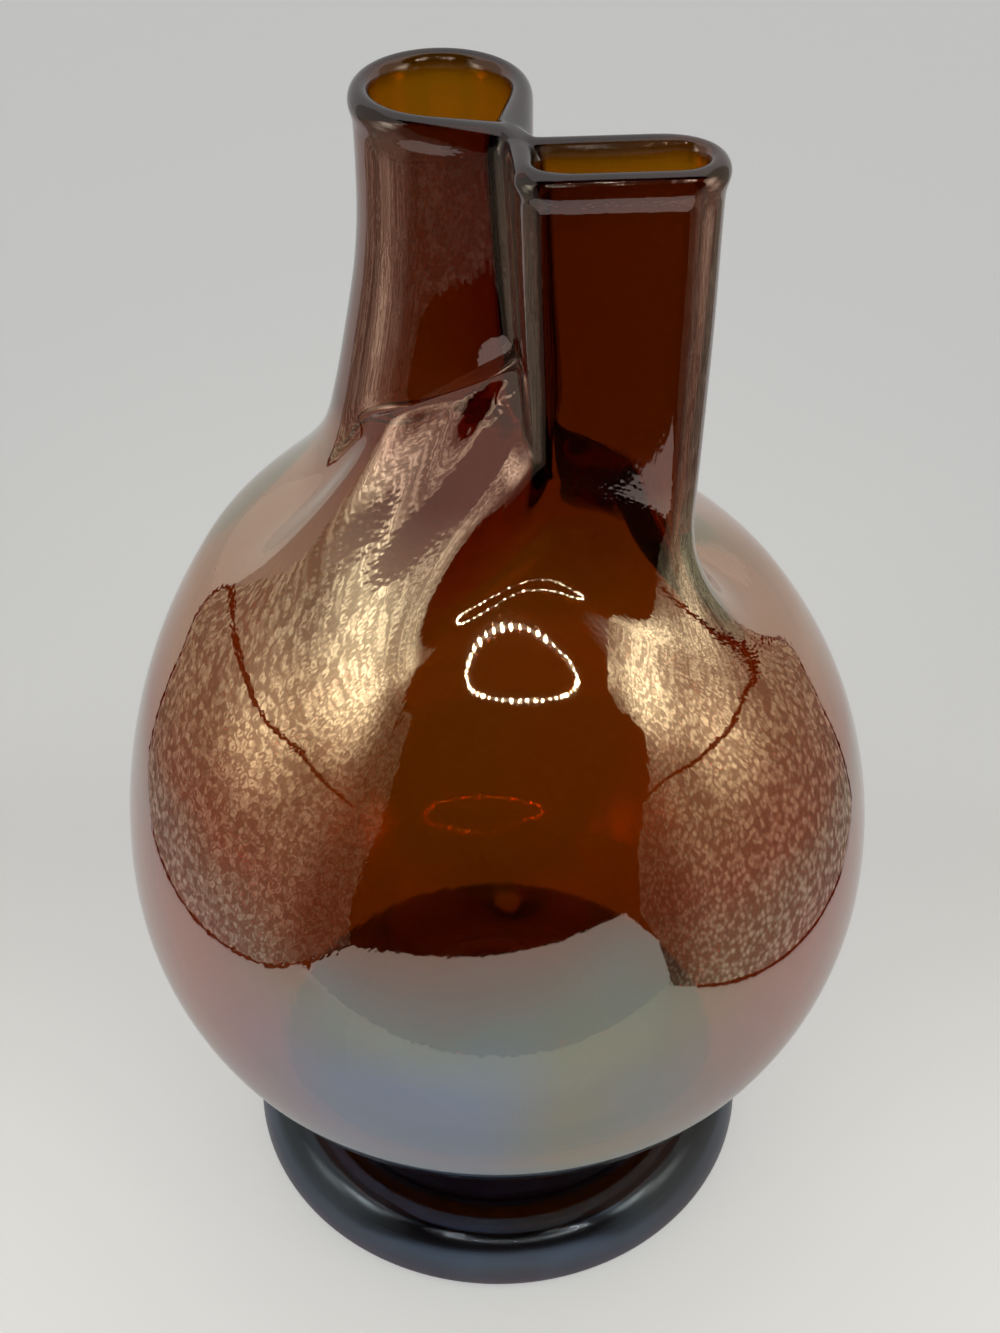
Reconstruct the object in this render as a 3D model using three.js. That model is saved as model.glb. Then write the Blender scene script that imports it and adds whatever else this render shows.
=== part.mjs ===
// Blown art glass vase with two mouths pinched from one neck, on an applied ring foot.
// Millimetres, +Z up. The origin is on the table, under the centre of the foot.
import * as THREE from 'three';

// Overall sizes
const TOTAL_HEIGHT = 255;
const BODY_RADIUS = 78.8;
const WALL = 4;
const SEAM_GAP = 0.3;

// Bulb: two half ellipses that share the widest level
const EQUATOR_HEIGHT = 93;
const LOWER_HALF = 73;
const UPPER_HALF = 87;
const LEFT_FULLNESS = 16.5;
const FULLEST_TURN = 2.6;
const FRONT_FULLNESS = 14;
const FRONT_TURN = 4.95;

// Shoulder: where it leaves the bulb, as an angle up from the widest level, and how it sets out
const SHOULDER_ANGLE = 0.68;
const FRONT_SHOULDER = 0.95;
const FRONT_WIDTH = 0.9;
const SHOULDER_LIFT = 1.08;
const FRONT_LIFT = 0.8;

// Necks, in plan at the rim: discs that the glass wraps, and the fused web between them
const LEFT_DISC = { x: -9.6, y: 12.5, radius: 14.9 };
const RIGHT_NEAR_DISC = { x: 8.8, y: -17, radius: 5.8 };
const RIGHT_FAR_DISC = { x: 28.6, y: -13.7, radius: 7.8 };
const WEB_CENTRE = { x: 3.4, y: -6.9 };
const WEB_HALF_THICKNESS = 2.5;
const WEB_TURN = 0.2;
const LEFT_TIP = { x: -4.3, y: 7.1 };
const RIGHT_TIP = { x: 3, y: -4.2 };
const RIGHT_TIP_TURN = 2.6;
const NECK_WALL = 3.9;
const NECK_BASE = 193;
const RIGHT_BASE = 185;
const FRONT_RISE = 12;
const NECK_WAIST = 234;
const LEFT_FLARE = 7;
const RIGHT_FLARE = -1.2;
const WEB_LEAN = 2.6;

// The necks stand out further to the front the lower down, the left one less than the right
const FRONT_LEAN = 3.5;
const FRONT_FLARE = 5;
const LEFT_SHARE = 0.5;
const WEB_SHARE = 0.8;
const FAR_SHARE = 0.8;

// Lip: the fire-polished rim, one S round both mouths
const LIP_BEAD = 2.8;
const LIP_SWELL = 1.3;
const LIP_DEPTH = 7;
const RIM_HEIGHT = TOTAL_HEIGHT - LIP_BEAD;

// Folds under the two crease corners, where the neck was pinched over the shoulder
const FOLD_REACH = 3.6;
const FOLD_TOP = 213;
const FOLD_FALL = 2.6;
const BACK_FOLD = 0.6;
const FOLD_LEAN = 0.75;
const THROAT_TOP = 217;
const CROTCH_HEIGHT = 207;
const BORE_STEP = 1.5;
const INNER_DROP = 3;
const CROTCH_DROP = 5;
const CROTCH_HALF_WIDTH = 1.2;
const CROTCH_PULL = 2.5;
const CROTCH_SLANT = 1 / 3;
const SEAM_HEIGHT = 180;

// Foot and the collar between it and the bulb
const FOOT_RADIUS = 58.3;
const FOOT_HEIGHT = 13;
const FOOT_HEEL = 2.5;
const FOOT_SEAT = 10;
const COLLAR_RADIUS = 23;

// Facets
const AROUND = 48;
const HALF = AROUND / 2;
const TANGENT_TURN = 0.01;
const TANGENT_RISE = 3;
const OUTLINE_STEPS = 360;
const BEAD_STEPS = 6;

const amberGlass = new THREE.MeshStandardMaterial({ color: 0x6b2f0c, roughness: 0.12, metalness: 0.35 });
const lipGlass = new THREE.MeshStandardMaterial({ color: 0x5b4a44, roughness: 0.1, metalness: 0.35 });
const footGlass = new THREE.MeshStandardMaterial({ color: 0x1c1416, roughness: 0.1, metalness: 0.35 });

const mix = THREE.MathUtils.lerp;
const smooth = THREE.MathUtils.smoothstep;
const steps = (count) => Array.from({ length: count + 1 }, (_, i) => i / count);

// Outline round a set of discs as a taut band, from one end of the web to the other
function tautOutline(discs, startAngle, count) {
  const band = [];
  for (let i = 1; i < OUTLINE_STEPS; i++) {
    const angle = startAngle + (i / OUTLINE_STEPS) * 2 * Math.PI;
    const out = new THREE.Vector2(Math.cos(angle), Math.sin(angle));
    const reach = discs.map((disc) => disc.x * out.x + disc.y * out.y + disc.radius);
    const outer = discs[reach.indexOf(Math.max(...reach))];
    band.push(out.multiplyScalar(outer.radius).add(new THREE.Vector2(outer.x, outer.y)));
  }
  return new THREE.Path(band).getSpacedPoints(count);
}

// How far the necks' front stands out at a height, from where it is at the rim
function forward(height) {
  const fall = (RIM_HEIGHT - height) / (RIM_HEIGHT - NECK_BASE);
  return FRONT_LEAN * fall + FRONT_FLARE * fall ** 2;
}

// Both neck outlines at one height: AROUND points, the back crease first and the front crease at HALF
function neckSection(height, inner) {
  const below = Math.max(0, (NECK_WAIST - height) / (NECK_WAIST - NECK_BASE));
  const swell = LIP_SWELL * smooth(height, RIM_HEIGHT - LIP_DEPTH, RIM_HEIGHT);
  const lean = WEB_LEAN * Math.min(1, (RIM_HEIGHT - height) / (RIM_HEIGHT - FOLD_TOP));
  const grow = inner ? swell / 2 - NECK_WALL : swell;
  const disc = (place, flare, shift, share) => ({
    x: place.x + shift,
    y: place.y - forward(height) * share,
    radius: place.radius + grow + flare * below ** 1.5,
  });
  const web = { x: WEB_CENTRE.x + lean, y: WEB_CENTRE.y - forward(height) * WEB_SHARE };
  const across = { x: Math.cos(WEB_TURN) * WEB_HALF_THICKNESS, y: Math.sin(WEB_TURN) * WEB_HALF_THICKNESS };
  const at = (offset, sign) => ({ x: web.x + sign * offset.x, y: web.y + sign * offset.y, radius: 0 });
  const leftEnds = inner ? [at(LEFT_TIP, 1)] : [at(across, 1), at(across, -1)];
  const rightEnds = inner ? [at(RIGHT_TIP, 1)] : [at(across, 1), at(across, -1)];
  const left = [disc(LEFT_DISC, LEFT_FLARE, 0, LEFT_SHARE), ...leftEnds];
  const right = [
    disc(RIGHT_NEAR_DISC, RIGHT_FLARE, lean / 2, 1),
    disc(RIGHT_FAR_DISC, RIGHT_FLARE, 0, FAR_SHARE),
    ...rightEnds,
  ];
  const webNormal = WEB_TURN + Math.PI / 2;
  const leftStart = inner ? Math.atan2(-LEFT_TIP.y, -LEFT_TIP.x) : webNormal + Math.PI;
  const rightStart = inner ? RIGHT_TIP_TURN : webNormal;
  return { left: tautOutline(left, leftStart, HALF), right: tautOutline(right, rightStart, HALF) };
}

const STATIONS = steps(24).map((t) => mix(NECK_BASE - 8, RIM_HEIGHT, t));
const outerSections = STATIONS.map((height) => neckSection(height, false));
const innerSections = STATIONS.map((height) => neckSection(height, true));

// Point of a neck wall: side is left or right, j counts from that side's first web end
function neckPoint(sections, side, j, height) {
  const place = (height - STATIONS[0]) / (STATIONS[1] - STATIONS[0]);
  const low = THREE.MathUtils.clamp(Math.floor(place), 0, STATIONS.length - 2);
  const flat = sections[low][side][j].clone().lerp(sections[low + 1][side][j], place - low);
  return new THREE.Vector3(flat.x, flat.y, height);
}

// Which side a meridian belongs to, and its count from that side's first web end
const sideOf = (j) => (j < HALF ? { side: 'left', k: j } : { side: 'right', k: j - HALF });
const bodyAngle = (j) => Math.PI / 4 + (j / AROUND) * 2 * Math.PI;

// How far the shoulder climbs under a crease, and how sharply it is pinched there. The creases stand
// at 0 and HALF, and the fold lies before its crease: past counts meridians beyond it.
function creaseWeight(j) {
  const past = ((j + HALF / 2) % HALF) - HALF / 2;
  const strength = Math.round(j / HALF) === 1 ? 1 : BACK_FOLD;
  const hump = (from, full, hold, to) => strength * smooth(past, from, full) * (1 - smooth(past, hold, to));
  return { past, rise: hump(-9, -4, 0, 8), pinch: hump(-7, -4, -1, 1.5) };
}

// How much a meridian faces a side: one straight at it, none a quarter turn off
const towards = (j, turn) => Math.max(0, Math.cos(bodyAngle(j) - turn)) ** 2;

// Bulb surface: angle from the equator, as a point on meridian j
function bulbPoint(j, lift, inset) {
  const turn = bodyAngle(j);
  const fullness = LEFT_FULLNESS * towards(j, FULLEST_TURN) + FRONT_FULLNESS * towards(j, FRONT_TURN);
  const half = (lift < 0 ? LOWER_HALF : UPPER_HALF + fullness) - inset;
  const radius = (BODY_RADIUS - inset) * Math.cos(lift);
  const height = EQUATOR_HEIGHT + half * Math.sin(lift);
  return new THREE.Vector3(radius * Math.cos(turn), radius * Math.sin(turn), height);
}

// Top end of the shoulder on meridian j: the neck wall, or the crest of the fold
function shoulderEnd(j, inner) {
  const { side, k } = sideOf(j);
  const crease = creaseWeight(j);
  const base = mix(RIGHT_BASE, NECK_BASE, (1 + Math.cos(bodyAngle(j) - FULLEST_TURN)) / 2)
    + FRONT_RISE * towards(j, FRONT_TURN);
  if (inner) {
    const height = mix(base - INNER_DROP, CROTCH_HEIGHT - CROTCH_DROP, crease.rise);
    const wall = neckPoint(innerSections, side, k, height);
    const lean = forward(height) * WEB_SHARE;
    const web = new THREE.Vector3(WEB_CENTRE.x + WEB_LEAN, WEB_CENTRE.y - lean, height);
    const ends = [HALF, 0, AROUND].map((end) => Math.abs(j - end));
    const pull = 1 - smooth(Math.min(...ends), 0, CROTCH_PULL);
    const off = j > HALF / 2 && j < HALF * 1.5 ? -CROTCH_HALF_WIDTH : CROTCH_HALF_WIDTH;
    return wall.lerp(web.add(new THREE.Vector3(off, off * CROTCH_SLANT, 0)), pull);
  }
  const height = mix(base, FOLD_TOP + FOLD_FALL * Math.min(0, crease.past), crease.rise);
  const wall = neckPoint(outerSections, side, k, height);
  const turn = bodyAngle(j);
  const reach = FOLD_REACH * crease.pinch;
  return wall.add(new THREE.Vector3(reach * Math.cos(turn), reach * Math.sin(turn), 0));
}

// Where the bulb ends on meridian j: higher at the front, where the right neck stands on it like a post
function shoulderAngle(j) {
  const off = Math.abs(Math.atan2(Math.sin(bodyAngle(j) - FRONT_TURN), Math.cos(bodyAngle(j) - FRONT_TURN)));
  return mix(FRONT_SHOULDER, SHOULDER_ANGLE, smooth(off, 0, FRONT_WIDTH));
}

// Shoulder: a cubic curve that leaves the bulb along its tangent and runs into the neck wall or the fold
function shoulderPoint(j, t, inner) {
  const inset = inner ? WALL : 0;
  const angle = shoulderAngle(j);
  const start = bulbPoint(j, angle, inset);
  const end = shoulderEnd(j, inner);
  const span = start.distanceTo(end);
  const turn = bodyAngle(j);
  const along = bulbPoint(j, angle + TANGENT_TURN, inset).sub(start).normalize();
  const { side, k } = sideOf(j);
  const { rise } = creaseWeight(j);
  const sections = inner ? innerSections : outerSections;
  const above = neckPoint(sections, side, k, end.z + TANGENT_RISE);
  const wall = above.sub(neckPoint(sections, side, k, end.z)).normalize();
  const fold = new THREE.Vector3(-FOLD_LEAN * Math.cos(turn), -FOLD_LEAN * Math.sin(turn), 1);
  const arrive = wall.multiplyScalar(1 - rise).addScaledVector(fold, rise).normalize();
  const lift = mix(SHOULDER_LIFT, FRONT_LIFT, towards(j, FRONT_TURN));
  const first = start.clone().addScaledVector(along, (span * lift) / 3);
  const second = end.clone().addScaledVector(arrive, -span / 3);
  return new THREE.CubicBezierCurve3(start, first, second, end).getPoint(t);
}

// Fold rings above the shoulder: crest, lip, groove behind it, then the neck wall again. Each keeps a
// little below the throat's top.
const FOLD_RINGS = [
  { rise: 1.5, foldRise: 0.9, reach: 0.62, below: 2 },
  { rise: 3, foldRise: -0.6, reach: -0.1, below: 1.5 },
  { rise: 5, foldRise: 0.6, reach: -0.5, below: 1 },
  { rise: 9, foldRise: 3.5, reach: -0.3, below: 0.5 },
];

function foldPoint(j, ring) {
  const { side, k } = sideOf(j);
  const { pinch } = creaseWeight(j);
  const climb = shoulderEnd(j, false).z + mix(ring.rise, ring.foldRise, pinch);
  const height = Math.min(climb, THROAT_TOP - ring.below);
  const turn = bodyAngle(j);
  const reach = FOLD_REACH * ring.reach * pinch;
  return neckPoint(outerSections, side, k, height).add(
    new THREE.Vector3(Math.cos(turn), Math.sin(turn), 0).multiplyScalar(reach));
}

// A closed skin put together from rings of points
class Skin {
  constructor() {
    this.points = [];
    this.faces = [];
  }

  ring(points) {
    const first = this.points.length;
    this.points.push(...points);
    return points.map((_, i) => first + i);
  }

  quad(a, b, c, d) {
    for (const face of [[a, b, c], [a, c, d]]) {
      if (new Set(face).size === 3) this.faces.push(face);
    }
  }

  // Faces between two rings of equal length, closed or open
  band(from, to, closed = true) {
    const last = closed ? from.length : from.length - 1;
    for (let i = 0; i < last; i++) {
      const next = (i + 1) % from.length;
      this.quad(from[i], from[next], to[next], to[i]);
    }
  }

  bands(rings) {
    for (let i = 1; i < rings.length; i++) this.band(rings[i - 1], rings[i]);
  }

  // Faces from a point to a ring, or from a ring to a point
  fan(apex, ring, fromApex) {
    ring.forEach((vertex, i) => {
      const next = ring[(i + 1) % ring.length];
      this.faces.push(fromApex ? [apex, next, vertex] : [vertex, next, apex]);
    });
  }

  mesh(name, material) {
    const geometry = new THREE.BufferGeometry();
    const positions = this.points.flatMap((point) => point.toArray());
    geometry.setAttribute('position', new THREE.Float32BufferAttribute(positions, 3));
    geometry.setIndex(this.faces.flat());
    geometry.computeVertexNormals();
    const mesh = new THREE.Mesh(geometry, material);
    mesh.name = name;
    return mesh;
  }
}

const meridians = Array.from({ length: AROUND }, (_, j) => j);
const ringOf = (point) => meridians.map(point);

// The two bores at one height; the web tip is one point that starts and ends each loop
function boreLoops(skin, height) {
  const loops = {};
  for (const side of ['left', 'right']) {
    const around = (_, k) => neckPoint(innerSections, side, k, height(side, k));
    const loop = skin.ring(Array.from({ length: HALF }, around));
    loops[side] = [...loop, loop[0]];
  }
  return loops;
}

// Faces between one ring and the two loops that it parts into
function part(skin, ring, loops, goingIn) {
  const left = ring.slice(0, HALF + 1);
  const right = [...ring.slice(HALF), ring[0]];
  for (const [half, loop] of [[left, loops.left], [right, loops.right]]) {
    if (goingIn) skin.band(half, loop, false);
    else skin.band(loop, half, false);
  }
  const web = [ring[HALF], loops.right[0], ring[0], loops.left[0]];
  if (goingIn) skin.quad(...web);
  else skin.quad(...web.reverse());
}

// Step along the shoulder curve at which it passes a height
function shoulderStep(j, height, inner) {
  let low = 0;
  let high = 1;
  for (let i = 0; i < 20; i++) {
    const middle = (low + high) / 2;
    if (shoulderPoint(j, middle, inner).z < height) low = middle;
    else high = middle;
  }
  return low;
}

function bulb() {
  const skin = new Skin();
  const lift = (j, t) => mix(-Math.PI / 2, shoulderAngle(j), t);
  const wall = (inner) => [
    ...steps(15).slice(1).map((t) => ringOf((j) => bulbPoint(j, lift(j, t), inner ? WALL : 0))),
    ...steps(5).slice(1).map((t) => (
      ringOf((j) => shoulderPoint(j, t * shoulderStep(j, SEAM_HEIGHT, inner), inner)))),
  ].map((points) => skin.ring(points));
  const bottom = (inset) => skin.ring([new THREE.Vector3(0, 0, EQUATOR_HEIGHT - LOWER_HALF + inset)])[0];
  const outer = wall(false);
  const inner = wall(true).reverse();
  skin.fan(bottom(0), outer[0], true);
  skin.bands([...outer, ...inner]);
  skin.fan(bottom(WALL), inner.at(-1), false);
  return skin.mesh('body', amberGlass);
}

// Lower end of a bore: it climbs to the web's tip, and at the front it keeps above the shoulder
function crotchHeight(side, k) {
  const j = side === 'left' ? k : k + HALF;
  const climb = (CROTCH_HEIGHT - NECK_BASE) * (1 - smooth(Math.min(k, HALF - k), 0, CROTCH_DROP));
  return NECK_BASE + BORE_STEP + Math.max(climb, (FRONT_RISE / 2) * towards(j, FRONT_TURN));
}

function throat() {
  const skin = new Skin();
  const climb = (inner) => steps(3).map((t) => ringOf((j) => (
    shoulderPoint(j, mix(shoulderStep(j, SEAM_HEIGHT + SEAM_GAP, inner), 1, t), inner))));
  const outer = [
    ...climb(false),
    ...FOLD_RINGS.map((ring) => ringOf((j) => foldPoint(j, ring))),
    ringOf((j) => neckPoint(outerSections, sideOf(j).side, sideOf(j).k, THROAT_TOP)),
  ].map((points) => skin.ring(points));
  const inner = climb(true).map((points) => skin.ring(points));
  const top = boreLoops(skin, () => THROAT_TOP);
  const crotch = boreLoops(skin, crotchHeight);
  skin.bands(outer);
  part(skin, outer.at(-1), top, true);
  for (const side of ['left', 'right']) skin.band(top[side], crotch[side], false);
  part(skin, inner.at(-1), crotch, false);
  skin.bands([...inner.reverse(), outer[0]]);
  return skin.mesh('pinched_throat', amberGlass);
}

// One neck tube, cut through the web by half the seam gap
function neck(side) {
  const skin = new Skin();
  const sign = side === 'left' ? 1 : -1;
  const back = new THREE.Vector3(-Math.sin(WEB_TURN), Math.cos(WEB_TURN), 0);
  back.multiplyScalar((sign * SEAM_GAP) / 2);
  const heights = steps(4).map((t) => mix(THROAT_TOP + SEAM_GAP, RIM_HEIGHT - LIP_DEPTH - SEAM_GAP, t));
  const count = Array.from({ length: HALF + 1 }, (_, k) => k);
  const outer = heights.map((height) => skin.ring(count.map((k) => {
    const point = neckPoint(outerSections, side, k, height);
    return k === 0 || k === HALF ? point.add(back) : point;
  })));
  const inner = heights.map((height) => {
    const loop = skin.ring(count.slice(0, HALF).map((k) => neckPoint(innerSections, side, k, height)));
    return [...loop, loop[0]];
  });
  skin.bands([...outer, ...inner.reverse(), outer[0]]);
  return skin.mesh(`${side}_neck`, amberGlass);
}

// The S-shaped lip: a rounded bead round each mouth, which meet over the web
function lip() {
  const skin = new Skin();
  const base = RIM_HEIGHT - LIP_DEPTH;
  const wall = steps(3).map((t) => mix(base, RIM_HEIGHT, t)).map((height) => (
    skin.ring(ringOf((j) => neckPoint(outerSections, sideOf(j).side, sideOf(j).k, height)))));
  const rim = wall.at(-1);
  const inside = steps(2).map((t) => boreLoops(skin, () => mix(RIM_HEIGHT, base, t)));

  const turn = (i) => (Math.PI * i) / BEAD_STEPS;
  const ease = (i) => (1 - Math.cos(turn(i))) / 2;
  const corner = (index) => skin.points[index];
  const front = corner(rim[HALF]);
  const behind = corner(rim[0]);
  const leftTip = corner(inside[0].left[0]);
  const rightTip = corner(inside[0].right[0]);

  // Web top: a saddle patch between the crease roots and the bore tips
  const web = [];
  for (let a = 0; a <= BEAD_STEPS; a++) {
    web.push([]);
    for (let b = 0; b <= BEAD_STEPS; b++) {
      const near = front.clone().lerp(rightTip, ease(a));
      const far = leftTip.clone().lerp(behind, ease(a));
      const point = near.lerp(far, ease(b));
      point.z = RIM_HEIGHT + LIP_BEAD * Math.sqrt(1 - (Math.cos(turn(a)) * Math.cos(turn(b))) ** 2);
      const known = { '0,0': rim[HALF], [`${BEAD_STEPS},0`]: inside[0].right[0],
        [`${BEAD_STEPS},${BEAD_STEPS}`]: rim[0], [`0,${BEAD_STEPS}`]: inside[0].left[0] }[`${a},${b}`];
      web[a].push(known ?? skin.ring([point])[0]);
    }
  }
  for (let a = 0; a < BEAD_STEPS; a++) {
    for (let b = 0; b < BEAD_STEPS; b++) {
      skin.quad(web[a][b], web[a + 1][b], web[a + 1][b + 1], web[a][b + 1]);
    }
  }

  // Bead of each mouth, from the outer rim over the top to the bore
  const ends = {
    left: (i) => [web[BEAD_STEPS - i][BEAD_STEPS], web[0][i]],
    right: (i) => [web[i][0], web[BEAD_STEPS][BEAD_STEPS - i]],
  };
  const rims = { left: rim.slice(0, HALF + 1), right: [...rim.slice(HALF), rim[0]] };
  for (const side of ['left', 'right']) {
    const arcs = [rims[side]];
    for (let i = 1; i < BEAD_STEPS; i++) {
      const [start, end] = ends[side](i);
      const points = rims[side].slice(1, -1).map((index, k) => {
        const point = corner(index).clone().lerp(corner(inside[0][side][k + 1]), ease(i));
        point.z = RIM_HEIGHT + LIP_BEAD * Math.sin(turn(i));
        return point;
      });
      arcs.push([start, ...skin.ring(points), end]);
    }
    arcs.push(inside[0][side]);
    for (let i = 1; i < arcs.length; i++) skin.band(arcs[i - 1], arcs[i], false);
    skin.band(inside[0][side], inside[1][side], false);
    skin.band(inside[1][side], inside[2][side], false);
  }
  skin.bands(wall);
  part(skin, wall[0], inside[2], false);
  return skin.mesh('lip', lipGlass);
}

// Turned pieces: a profile of radius and height, revolved about Z
function turned(name, material, profile) {
  const points = profile.map(([radius, height]) => new THREE.Vector2(radius, height));
  const mesh = new THREE.Mesh(new THREE.LatheGeometry(points, AROUND), material);
  mesh.rotation.x = Math.PI / 2;
  mesh.name = name;
  return mesh;
}

const arc = (x, z, radius, from, to, count) => steps(count).map((t) => {
  const angle = THREE.MathUtils.degToRad(mix(from, to, t));
  return [x + radius * Math.cos(angle), z + radius * Math.sin(angle)];
});

function foot() {
  const bead = FOOT_HEIGHT - FOOT_HEEL;
  return turned('foot_ring', footGlass, [
    [0, 4.6],
    [7, 4.1],
    [12, 2.6],
    [30, 2.2],
    [43, 0.7],
    [46, 0],
    ...arc(FOOT_RADIUS - FOOT_HEEL, FOOT_HEEL, FOOT_HEEL, -90, 0, 5),
    ...arc(FOOT_RADIUS - bead, FOOT_HEEL, bead, 0, 115, 9).slice(1),
    [39, 9.6],
    [32, 8.8],
    [27, 9.1],
    [COLLAR_RADIUS + 1, FOOT_SEAT],
    [0, FOOT_SEAT],
  ]);
}

function collar() {
  const fall = LOWER_HALF + SEAM_GAP;
  const seat = (radius) => EQUATOR_HEIGHT - fall * Math.sqrt(1 - (radius / BODY_RADIUS) ** 2);
  return turned('foot_collar', footGlass, [
    [0, FOOT_SEAT + SEAM_GAP],
    [COLLAR_RADIUS, FOOT_SEAT + SEAM_GAP],
    ...arc(COLLAR_RADIUS + 2.5, FOOT_SEAT + 6.5, 4.5, 225, 140, 4),
    [COLLAR_RADIUS + 1.5, seat(COLLAR_RADIUS + 1.5)],
    ...steps(3).map((t) => [mix(COLLAR_RADIUS - 1, 0, t), seat(mix(COLLAR_RADIUS - 1, 0, t))]),
  ]);
}

const vase = new THREE.Group();
vase.add(bulb(), throat(), neck('left'), neck('right'), lip(), collar(), foot());
export default vase;
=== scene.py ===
import math

import bmesh
import bpy
import numpy as np
from bpy.props import FloatProperty, IntProperty, PointerProperty, StringProperty
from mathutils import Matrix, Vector


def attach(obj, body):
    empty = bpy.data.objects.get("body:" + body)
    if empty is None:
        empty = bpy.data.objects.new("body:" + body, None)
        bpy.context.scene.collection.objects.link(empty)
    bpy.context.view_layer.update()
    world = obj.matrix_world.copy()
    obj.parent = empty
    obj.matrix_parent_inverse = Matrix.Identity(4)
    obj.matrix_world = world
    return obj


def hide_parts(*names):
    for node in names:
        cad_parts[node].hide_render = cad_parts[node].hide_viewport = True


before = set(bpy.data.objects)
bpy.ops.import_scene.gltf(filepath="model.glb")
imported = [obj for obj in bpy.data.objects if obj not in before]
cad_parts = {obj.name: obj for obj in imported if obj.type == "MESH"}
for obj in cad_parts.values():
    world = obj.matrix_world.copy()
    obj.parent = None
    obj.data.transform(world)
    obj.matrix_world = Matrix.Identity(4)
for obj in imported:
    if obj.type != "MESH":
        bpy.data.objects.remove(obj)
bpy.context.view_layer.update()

# Blown lustre glass vase: one skin of amber glass, pinched into two mouths, on an applied ring foot.
bl_info = {
    "name": "Two-mouthed lustre vase",
    "version": (1, 0, 0),
    "blender": (4, 5, 0),
    "location": "View3D > Sidebar > Vase",
    "description": "Models a blown lustre glass vase with two pinched mouths on a ring foot",
    "category": "Add Mesh",
}

MM = 0.001

# Bulb, in millimetres
TOTAL_HEIGHT = 255.0
BODY_RADIUS = 78.8
WALL = 4.0
EQUATOR_HEIGHT = 93.0
LOWER_HALF = 73.0
UPPER_HALF = 87.0
LEFT_FULLNESS = 16.5
FULLEST_TURN = 2.6
SHOULDER_ANGLE = 0.68
SHOULDER_LIFT = 1.08
FRONT_LIFT = 0.8

# Necks at the rim: discs that the glass wraps, and the fused web between them
LEFT_DISC = (-9.6, 12.5, 14.9)
RIGHT_NEAR_DISC = (8.8, -17.0, 5.8)
RIGHT_FAR_DISC = (28.6, -13.7, 7.8)
WEB_CENTRE = (3.4, -6.9)
WEB_HALF_THICKNESS = 2.5
WEB_TURN = 0.2
LEFT_TIP = (-4.3, 7.1)
RIGHT_TIP = (3.0, -4.2)
RIGHT_TIP_TURN = 2.6
NECK_WALL = 3.9
NECK_BASE = 193.0
RIGHT_BASE = 185.0
NECK_WAIST = 234.0
LEFT_FLARE = 7.0
RIGHT_FLARE = -1.2
FLARE_CURVE = 1.5
WEB_LEAN = 2.6
FRONT_LEAN = 3.0
FRONT_FLARE = 3.5
LEFT_SHARE = 0.5
WEB_SHARE = 0.8
FAR_SHARE = 0.8
FRONT_TURN = 4.88
FRONT_WIDTH = 1.15
FRONT_SHOULDER = 1.1
FRONT_FULLNESS = 14.0
FRONT_RISE = 12.0

# Lip
LIP_BEAD = 2.8
LIP_SWELL = 0.9
LIP_DEPTH = 4.0
RIM_HEIGHT = TOTAL_HEIGHT - LIP_BEAD

# Folds under the creases. The spans are steps of 7.5 degrees past a crease: where the fold starts, is full,
# lets go and ends
STEPS_ROUND = 48
RISE_SPAN = (-9, -4, 0, 8)
PINCH_SPAN = (-6, -3, -1, 1.5)
ARRIVAL_SPAN = (-3, -0.5)
FOLD_SLANT = 0.75
FOLD_REACH = 3.6
FOLD_TOP = 213.0
FOLD_FALL = 2.6
BACK_FOLD = 0.6
THROAT_TOP = 217.0

# Crotch inside, where the two bores meet under the web
CROTCH_HEIGHT = 207.0
CROTCH_DROP = 5
CROTCH_OFFSET = 1.2
CROTCH_SLANT = 1 / 3
CROTCH_REACH = 2.5
CROTCH_CLIMB = 5
INNER_DROP = 3
BORE_GAP = 1.5
TANGENT_TURN = 0.01
TANGENT_RISE = 3

# Foot and collar
FOOT_RADIUS = 58.3
FOOT_HEIGHT = 13.0
FOOT_SEAT = 10.0
FOOT_HEEL = 2.5
COLLAR_RADIUS = 23.0
SEAM_GAP = 0.3
TURNED_STEPS = 144
# The collar's round groove: how far its centre lies outside the collar and above the seat, and its radius
GROOVE = (2.5, 6.5, 4.5)
# Radii at which the collar's top follows the bulb
COLLAR_TOP = [COLLAR_RADIUS + 1.5, 20, 16, 12, 8, 4, 0]
# Profiles of radius and height: the foot's underside with its pontil hollow, and the dish on top
UNDERSIDE = [(0, 4.6), (4, 4.5), (8, 3.9), (12, 2.6), (30, 2.2), (40, 1.4), (44, 0.4), (46, 0)]
DISH = [(42, 10.6), (39, 9.6), (35.5, 9.0), (32, 8.8), (28, 9.0),
        (COLLAR_RADIUS + 1, FOOT_SEAT), (0, FOOT_SEAT)]

# Cage of the skin, before the subdivision: meridians round the vase and rings up it
AROUND = 64
HALF = AROUND // 2
OUTLINE_STEPS = 720
STATION_COUNT = 49
BULB_RINGS = 18
SHOULDER_RINGS = 12
INNER_SHOULDER_RINGS = 8
NECK_RINGS = [218.0, 223.0, 230.0, 237.0]
BORE_RINGS = [236.0, 228.0, 222.0]
LIP_RINGS = (0.4, 0.75, 1.0)
BEAD_STEPS = 6

# Flow of the glass, which the wrinkles follow: its radius in each zone, and how far it runs from ring to ring
SHOULDER_FLOW = 60
NECK_FLOW = 34
BORE_FLOW = 30
INNER_FLOW = 40
LEAST_FLOW = 0.3
BULB_RUN = 9.5
SHOULDER_RUN = 5.0
FOLD_RUN = 2.5
NECK_RUN = 6.0
LIP_RUN = 3.0


def mix(a, b, t):
    return a + (b - a) * t


def smooth(x, low, high):
    t = min(1.0, max(0.0, (x - low) / (high - low)))
    return t * t * (3 - 2 * t)


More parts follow.
